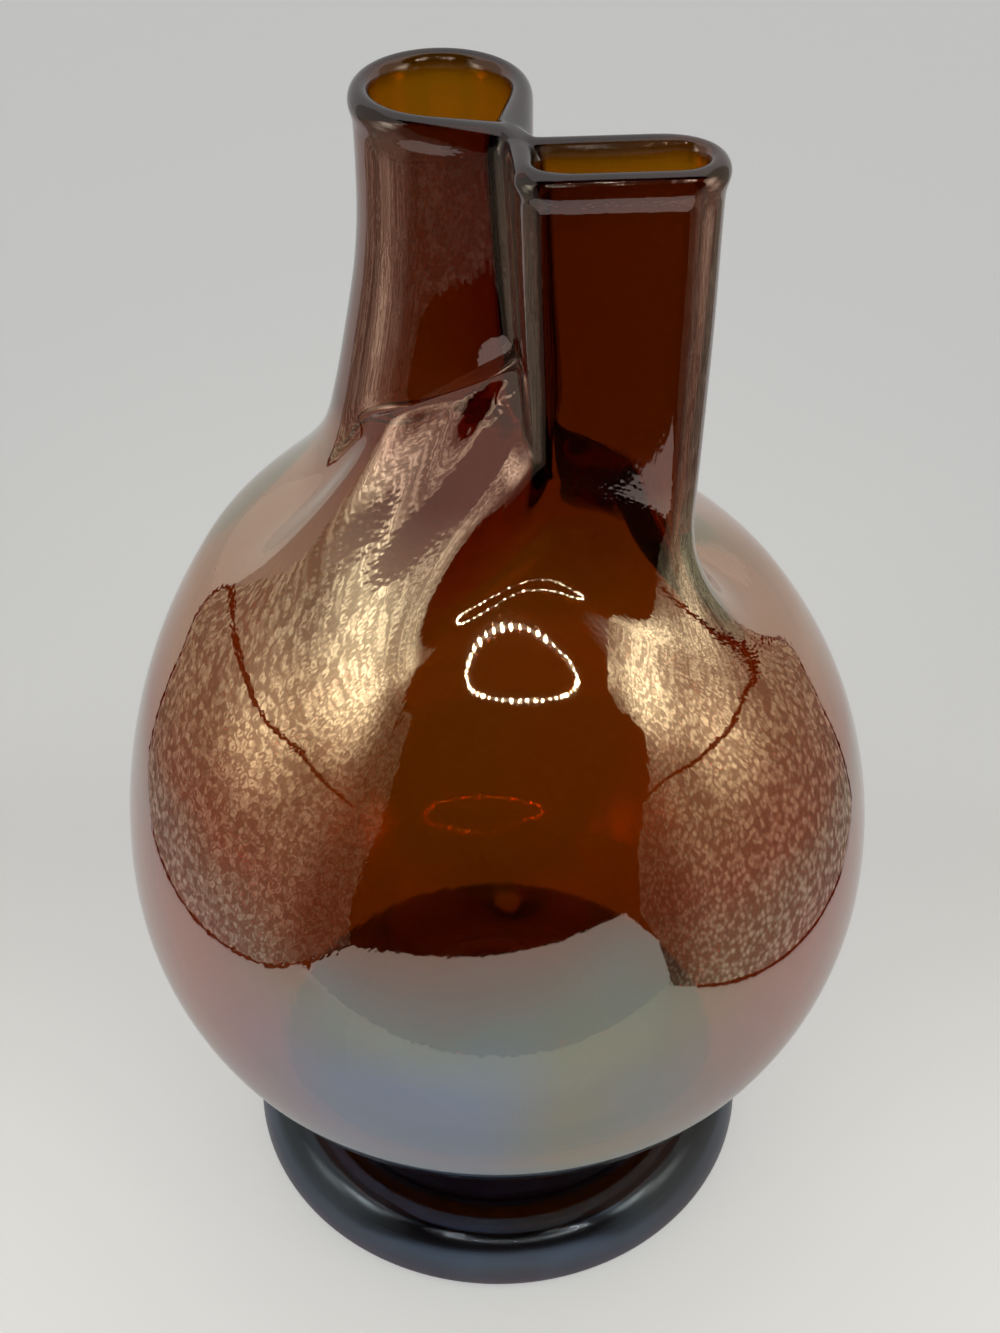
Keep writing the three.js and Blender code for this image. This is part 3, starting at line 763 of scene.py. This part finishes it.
class VASE_OT_foot(bpy.types.Operator):
    """Put on the foot: a ring with a fat rounded edge, and the short collar that carries the bulb"""
    bl_idname = "vase.foot"
    bl_label = "Put on foot"

    def execute(self, context):
        sizes = context.scene.vase_sizes
        radius, height = sizes.foot_radius / MM, sizes.foot_height / MM
        bead = height - FOOT_HEEL
        ring = spun("foot_ring_glass", [
            *UNDERSIDE, *arc(radius - FOOT_HEEL, FOOT_HEEL, FOOT_HEEL, -90, 0, 8),
            *arc(radius - bead, FOOT_HEEL, bead, 0, 115, 18)[1:], *DISH])
        material = foot_glass()
        ring.data.materials.append(material)
        finished(ring, "foot_glass", "foot_ring")

        def seat(reach):
            return EQUATOR_HEIGHT - (LOWER_HALF + SEAM_GAP) * math.sqrt(1 - (reach / BODY_RADIUS) ** 2)

        collar = spun("foot_collar_glass", [
            (0, FOOT_SEAT + SEAM_GAP), (COLLAR_RADIUS, FOOT_SEAT + SEAM_GAP),
            *arc(COLLAR_RADIUS + GROOVE[0], FOOT_SEAT + GROOVE[1], GROOVE[2], 225, 140, 8),
            *((reach, seat(reach)) for reach in COLLAR_TOP)])
        collar.data.materials.append(material)
        finished(collar, "foot_glass", "foot_collar")
        return {"FINISHED"}


# Light tent round the vase, in metres: side walls of embossed silvery cloth with a seam across, plain cloth
# behind the left one, a low flap in front, and the dark room above the flap. Corners run round each panel.
LEFT_SEAM = [(-0.235, 0.129, 0.158), (-0.235, 0.066, 0.17), (-0.235, -0.002, 0.187),
             (-0.235, -0.095, 0.206), (-0.235, -0.21, 0.211)]
RIGHT_SEAM = [(0.211, 0.139, 0.130), (0.216, 0.003, 0.172), (0.2187, -0.097, 0.190),
              (0.2206, -0.163, 0.205), (0.2209, -0.21, 0.207)]
LEFT_TOP = [(-0.235, -0.21, 0.5), (-0.235, -0.17, 0.42), (-0.235, -0.13, 0.37), (-0.235, -0.09, 0.33),
            (-0.235, -0.02, 0.265), (-0.235, 0.02, 0.225), (-0.235, 0.129, 0.16)]
WALLS = {
    "tent_left_low": [
        *LEFT_SEAM, (-0.235, -0.21, 0.015), (-0.235, -0.15, 0.0), (-0.235, 0.054, 0.0), (-0.235, 0.106, 0.02),
        (-0.235, 0.104, 0.1)],
    "tent_left_high": [
        *LEFT_SEAM, (-0.235, -0.21, 0.3), (-0.235, -0.2, 0.36), (-0.235, -0.182, 0.41), *LEFT_TOP],
    "tent_left_corner": [
        (-0.235, -0.21, 0.015), (-0.164, -0.22, 0.073), (-0.171, -0.22, 0.116), (-0.163, -0.22, 0.192),
        (-0.187, -0.22, 0.283), (-0.22, -0.22, 0.36), (-0.235, -0.21, 0.36)],
    "tent_right_corner": [
        (0.195, -0.21, 0.0), (0.2, -0.22, 0.0), (0.18, -0.22, 0.061), (0.155, -0.22, 0.1),
        (0.172, -0.22, 0.159), (0.22, -0.22, 0.208), (0.2206, -0.21, 0.207)],
    "tent_right_low": [
        *RIGHT_SEAM, (0.195, -0.21, 0.0), (0.195, 0.036, 0.0), (0.196, 0.084, 0.01), (0.2045, 0.09, 0.08)],
    "tent_right_high": [
        *RIGHT_SEAM, (0.222, -0.19, 0.225), (0.2256, -0.165, 0.25), (0.229, -0.155, 0.27),
        (0.232, -0.165, 0.30), (0.235, -0.185, 0.33), (0.242, -0.18, 0.37), (0.243, -0.1, 0.39),
        (0.2575, -0.06, 0.5), (0.2575, 0.139, 0.5)],
}
FLAP = [(-0.235, -0.22, 0.0), (-0.235, -0.22, 0.014), (-0.162, -0.22, 0.071), (-0.094, -0.22, 0.087),
        (0.0, -0.22, 0.098), (0.097, -0.22, 0.106), (0.133, -0.22, 0.107), (0.180, -0.22, 0.061),
        (0.2, -0.22, 0.0)]
# Dark seams of the cloth: the line and the width across it
SEAMS = {
    "seam_left": (LEFT_SEAM, (0, 0, 0.004)),
    "seam_right": (RIGHT_SEAM, (0, 0, 0.004)),
    "edge_left_back": (
        [(-0.235, 0.129, 0.16), (-0.235, 0.104, 0.1), (-0.235, 0.106, 0.02), (-0.235, 0.054, 0.0)],
        (0, 0.005, 0)),
    "edge_left_foot": ([(-0.235, 0.06, 0.0), (-0.235, -0.15, 0.0), (-0.235, -0.21, 0.014)], (0, 0, 0.004)),
    "edge_right_back": (
        [(0.211, 0.139, 0.13), (0.2045, 0.09, 0.08), (0.196, 0.084, 0.01), (0.195, 0.036, 0.0)],
        (0, 0.005, 0)),
    "edge_right_foot": ([(0.195, 0.04, 0.0), (0.195, -0.17, 0.0)], (0, 0, 0.004)),
}
TENT_FRONT = -0.22
FLOOR_REACH = 2
# Cloth: width of the dimples, how bright they are from the middle to the edge, the plain light of each
# cloth, and how the silvered one darkens to the front along Y
EMBOSSING = 0.0055
DIMPLE_LIGHT = (2.1, 0.55)
CLOTH_LIGHT = 0.33
PLAIN_CLOTH_LIGHT = 0.36
FLAP_LIGHT = 0.53
SEAM_LIGHT = 0.15
FRONT_SHADE = 0.25
SHADE_START = -0.225
SHADE_END = -0.13
# The floor's even glow, the painted light added to it near the camera, and between which places along Y
FLOOR_HAZE = 0.2
NEAR_PAINTED_LIGHT = 0.22
PAINTED_LIGHT_START = 0.1
PAINTED_LIGHT_FULL = -0.06
# Glows of the lamps on the side walls: their place along and up the wall, their reach and their light
LAMP_GLOWS = [((-0.1, 0.29), 0.09, 2.1), ((-0.05, 0.192), 0.08, 0.85), ((-0.15, 0.385), 0.06, 1.0)]
# Ring lamp overhead, an oval of beads with a faint diffuser behind them
RING_CENTRE = Vector((0.05, -0.287, 0.5))
RING_REACH = (0.2, 0.08)
RING_BEADS = 42
BEAD_RADIUS = 0.003
DIFFUSER_HALF = 0.003
DIFFUSER_BEHIND = Vector((0, 0, 0.0005))
DIFFUSER_SHARE = 1 / 120
# Camera: its place, what it looks at, and its lens as a share of the picture's height
EYE = Vector((0.0005, -0.2910, 0.3893))
AIM = Vector((0.0005, 0, 0.1363))
LENS_SHARE = 1900 / 1333
SENSOR = 36
NEAREST = 0.01


# Cloth or lamp that only gives light: the eye finds it as an even patch in the glass
def glow(name, colour, strength):
    material, tree = new_material(name)
    light = add(tree, "ShaderNodeEmission", {"Color": linear(colour), "Strength": strength})
    add(tree, "ShaderNodeOutputMaterial", {"Surface": light.outputs[0]})
    return material


def stage_mesh(name, material, points, faces, seen=False):
    """A piece of the studio, in metres; unless it is seen, the camera only finds its light on the vase."""
    mesh = bpy.data.meshes.new(name)
    mesh.from_pydata(points, [], faces)
    piece = bpy.data.objects.new(name, mesh)
    bpy.context.collection.objects.link(piece)
    piece.data.materials.append(material)
    piece.visible_camera = seen
    return piece


def panel(name, material, corners, seen=False):
    """One sheet of the studio from the corners round it."""
    return stage_mesh(name, material, corners, [list(range(len(corners)))], seen)


# Matt paper, coated white: the eye sees an even pale sheet with a soft shadow. Where it is seen straight,
# mirrored or through the glass it is a little brighter, and where it is seen straight near the camera painted
# light brightens it further; its shadow stays.
def pale_paper():
    material, tree = new_material("pale_matt_paper")
    paper = add(tree, "ShaderNodeBsdfPrincipled", {"Base Color": linear("#efefed"), "Roughness": 0.8})
    path = add(tree, "ShaderNodeLightPath").outputs
    shown = path["Is Camera Ray"]
    for ray in ("Is Glossy Ray", "Is Transmission Ray"):
        shown = add(tree, "ShaderNodeMath", {0: shown, 1: path[ray]}, operation="MAXIMUM").outputs[0]
    glow_and_painted_light = add(tree, "ShaderNodeMath", {0: shown, 1: FLOOR_HAZE}, operation="MULTIPLY").outputs[0]
    place = add(tree, "ShaderNodeTexCoord").outputs["Object"]
    depth = add(tree, "ShaderNodeSeparateXYZ", {"Vector": place}).outputs["Y"]
    # Painted light: the paper is brightened towards the camera, for camera rays only
    near = add(tree, "ShaderNodeMapRange", {
        "Value": depth, "From Min": PAINTED_LIGHT_START, "From Max": PAINTED_LIGHT_FULL, "To Max": NEAR_PAINTED_LIGHT},
        interpolation_type="SMOOTHSTEP").outputs[0]
    near = add(tree, "ShaderNodeMath", {0: path["Is Camera Ray"], 1: near}, operation="MULTIPLY").outputs[0]
    glow_and_painted_light = add(tree, "ShaderNodeMath", {0: glow_and_painted_light, 1: near}, operation="ADD").outputs[0]
    glow_and_painted_light = add(tree, "ShaderNodeEmission", {"Color": linear("#fbfcfb"), "Strength": glow_and_painted_light})
    lit = add(tree, "ShaderNodeAddShader", {0: paper.outputs[0], 1: glow_and_painted_light.outputs[0]})
    add(tree, "ShaderNodeOutputMaterial", {"Surface": lit.outputs[0]})
    return material


# Silvered cloth, embossed with small dimples: the eye sees it only in the glass, as a sparkling pale wall
# with the glow of the lamps, darker towards the dark room in front
def silver_cloth(brightness):
    material, tree = new_material("embossed_silver_cloth")
    place = add(tree, "ShaderNodeTexCoord").outputs["Object"]
    along = add(tree, "ShaderNodeVectorMath", {0: place, 1: (0, 1, 1)}, operation="MULTIPLY").outputs[0]
    light = CLOTH_LIGHT
    for centre, reach, strength in LAMP_GLOWS:
        off = add(tree, "ShaderNodeVectorMath", {0: along, 1: (0, *centre)},
                  operation="DISTANCE").outputs["Value"]
        lamp = add(tree, "ShaderNodeMapRange", {
            "Value": off, "From Min": reach, "From Max": 0.0, "To Max": strength},
            interpolation_type="SMOOTHSTEP").outputs[0]
        light = add(tree, "ShaderNodeMath", {0: lamp, 1: light}, operation="ADD").outputs[0]
    dimples = add(tree, "ShaderNodeTexVoronoi", {"Vector": place, "Scale": 1 / EMBOSSING}).outputs["Distance"]
    dimples = add(tree, "ShaderNodeMapRange", {
        "Value": dimples, "From Min": 0.1, "From Max": 0.62,
        "To Min": DIMPLE_LIGHT[0], "To Max": DIMPLE_LIGHT[1]}).outputs[0]
    depth = add(tree, "ShaderNodeSeparateXYZ", {"Vector": place}).outputs["Y"]
    shade = add(tree, "ShaderNodeMapRange", {
        "Value": depth, "From Min": SHADE_START, "From Max": SHADE_END, "To Min": FRONT_SHADE},
        interpolation_type="SMOOTHSTEP").outputs[0]
    for share in (dimples, shade, brightness):
        light = add(tree, "ShaderNodeMath", {0: light, 1: share}, operation="MULTIPLY").outputs[0]
    cloth = add(tree, "ShaderNodeEmission", {"Color": linear("#fff8e2"), "Strength": light})
    add(tree, "ShaderNodeOutputMaterial", {"Surface": cloth.outputs[0]})
    return material


def light_tent(brightness):
    """Walls, flap and dark seams of the tent."""
    silver = silver_cloth(brightness)
    for name, corners in WALLS.items():
        panel(name, silver, corners)
    plain = glow("plain_cloth", "#fff6ec", PLAIN_CLOTH_LIGHT)
    panel("tent_left_back", plain, [*LEFT_TOP, (-0.235, 0.129, 0.5)])
    panel("tent_flap", glow("white_cloth", "#f4fbff", FLAP_LIGHT), FLAP)
    dark = glow("seam_shade", "#1a1410", SEAM_LIGHT)
    for name, (line, width) in SEAMS.items():
        near = [(x * 0.99, y, z) for x, y, z in line]
        panel(name, dark, near + [tuple(Vector(point) + Vector(width)) for point in reversed(near)])


def ring_point(turn, wider):
    return RING_CENTRE + Vector(
        ((RING_REACH[0] + wider) * math.cos(turn), (RING_REACH[1] + wider) * math.sin(turn), 0))


def ring_lamp(brightness):
    """The ring lamp: six-sided beads of light, and the four-sided pieces of the diffuser behind them."""
    angles = [math.pi * k / 3 for k in range(6)]
    hexagon = [BEAD_RADIUS * Vector((math.cos(angle), -math.sin(angle), 0)) for angle in angles]
    beads, strips = [], []
    for i in range(RING_BEADS):
        turn, after = (2 * math.pi * step / RING_BEADS for step in (i, i + 1))
        beads.append([ring_point(turn, 0) + corner for corner in hexagon])
        strips.append([ring_point(end, wider) + DIFFUSER_BEHIND for end, wider in (
            (turn, -DIFFUSER_HALF), (after, -DIFFUSER_HALF), (after, DIFFUSER_HALF), (turn, DIFFUSER_HALF))])
    for name, light, shapes in (("ring_lamp", brightness, beads),
                                ("ring_diffuser", brightness * DIFFUSER_SHARE, strips)):
        sides = len(shapes[0])
        points = [corner for shape in shapes for corner in shape]
        faces = [[i * sides + k for k in range(sides)] for i in range(RING_BEADS)]
        stage_mesh(name, glow(name + "_light", "#fff6e6", light), points, faces)


def pale_room(brightness):
    """World: pale all round, with the dark room in front of the open side of the light tent."""
    world = bpy.data.worlds.new("studio")
    world.use_nodes = True
    tree = world.node_tree
    tree.nodes.clear()
    direction = add(tree, "ShaderNodeTexCoord").outputs["Generated"]
    depth = add(tree, "ShaderNodeSeparateXYZ", {"Vector": direction}).outputs["Y"]
    front = add(tree, "ShaderNodeMath", {0: depth, 1: -1.0}, operation="MULTIPLY").outputs[0]
    front = add(tree, "ShaderNodeMapRange", {"Value": front, "From Min": 0.1, "From Max": 0.3},
                interpolation_type="SMOOTHSTEP").outputs[0]
    straight = add(tree, "ShaderNodeLightPath").outputs["Is Camera Ray"]
    unseen = add(tree, "ShaderNodeMath", {0: 1.0, 1: straight}, operation="SUBTRACT").outputs[0]
    dark = add(tree, "ShaderNodeMath", {0: front, 1: unseen}, operation="MULTIPLY").outputs[0]
    colour = add(tree, "ShaderNodeMix", {"Factor": dark, 6: linear("#ffffff"), 7: linear("#120c08")},
                 data_type="RGBA").outputs[2]
    light = add(tree, "ShaderNodeBackground", {"Color": colour, "Strength": brightness})
    add(tree, "ShaderNodeOutputWorld", {"Surface": light.outputs[0]})
    return world


class VASE_OT_studio(bpy.types.Operator):
    """Set the stage: a pale floor, a tent of silvery cloth, a ring lamp overhead and the camera"""
    bl_idname = "vase.studio"
    bl_label = "Set stage"

    def execute(self, context):
        studio = context.scene.vase_studio
        paper = pale_paper()
        wide = FLOOR_REACH
        for name, back, front in (("floor", wide, TENT_FRONT), ("floor_front", TENT_FRONT, -wide)):
            corners = [(-wide, back, 0), (wide, back, 0), (wide, front, 0), (-wide, front, 0)]
            floor = panel(name, paper, corners, seen=True)
        # The glass doesn't mirror the sheet in front of the flap
        floor.visible_glossy = False
        light_tent(studio.softbox)
        ring_lamp(studio.beads)
        context.scene.world = pale_room(studio.backdrop)
        context.scene.view_settings.view_transform = "Standard"

        deselect()
        bpy.ops.object.camera_add(location=EYE, rotation=(AIM - EYE).to_track_quat("-Z", "Y").to_euler())
        camera = context.object
        camera.data.sensor_width = SENSOR
        camera.data.lens = LENS_SHARE * SENSOR
        camera.data.clip_start = NEAREST
        context.scene.camera = camera
        return {"FINISHED"}


class VASE_PT_panel(bpy.types.Panel):
    bl_label = "Two-mouthed vase"
    bl_idname = "VASE_PT_panel"
    bl_space_type = "VIEW_3D"
    bl_region_type = "UI"
    bl_category = "Vase"

    def draw(self, context):
        for group in (context.scene.vase_sizes, context.scene.vase_finish, context.scene.vase_studio):
            for name in group.__annotations__:
                self.layout.prop(group, name)
        for step in STEPS:
            self.layout.operator(step.bl_idname)


STEPS = (VASE_OT_vessel, VASE_OT_foot, VASE_OT_studio)
GROUPS = {"vase_sizes": VaseSizes, "vase_finish": VaseFinish, "vase_studio": VaseStudio}


def register():
    for cls in (*GROUPS.values(), *STEPS, VASE_PT_panel):
        bpy.utils.register_class(cls)
    for name, group in GROUPS.items():
        setattr(bpy.types.Scene, name, PointerProperty(type=group))


def unregister():
    for name in GROUPS:
        delattr(bpy.types.Scene, name)
    for cls in reversed((*GROUPS.values(), *STEPS, VASE_PT_panel)):
        bpy.utils.unregister_class(cls)


def main():
    register()
    bpy.ops.vase.vessel()
    bpy.ops.vase.foot()
    bpy.ops.vase.studio()


if __name__ == "__main__":
    main()
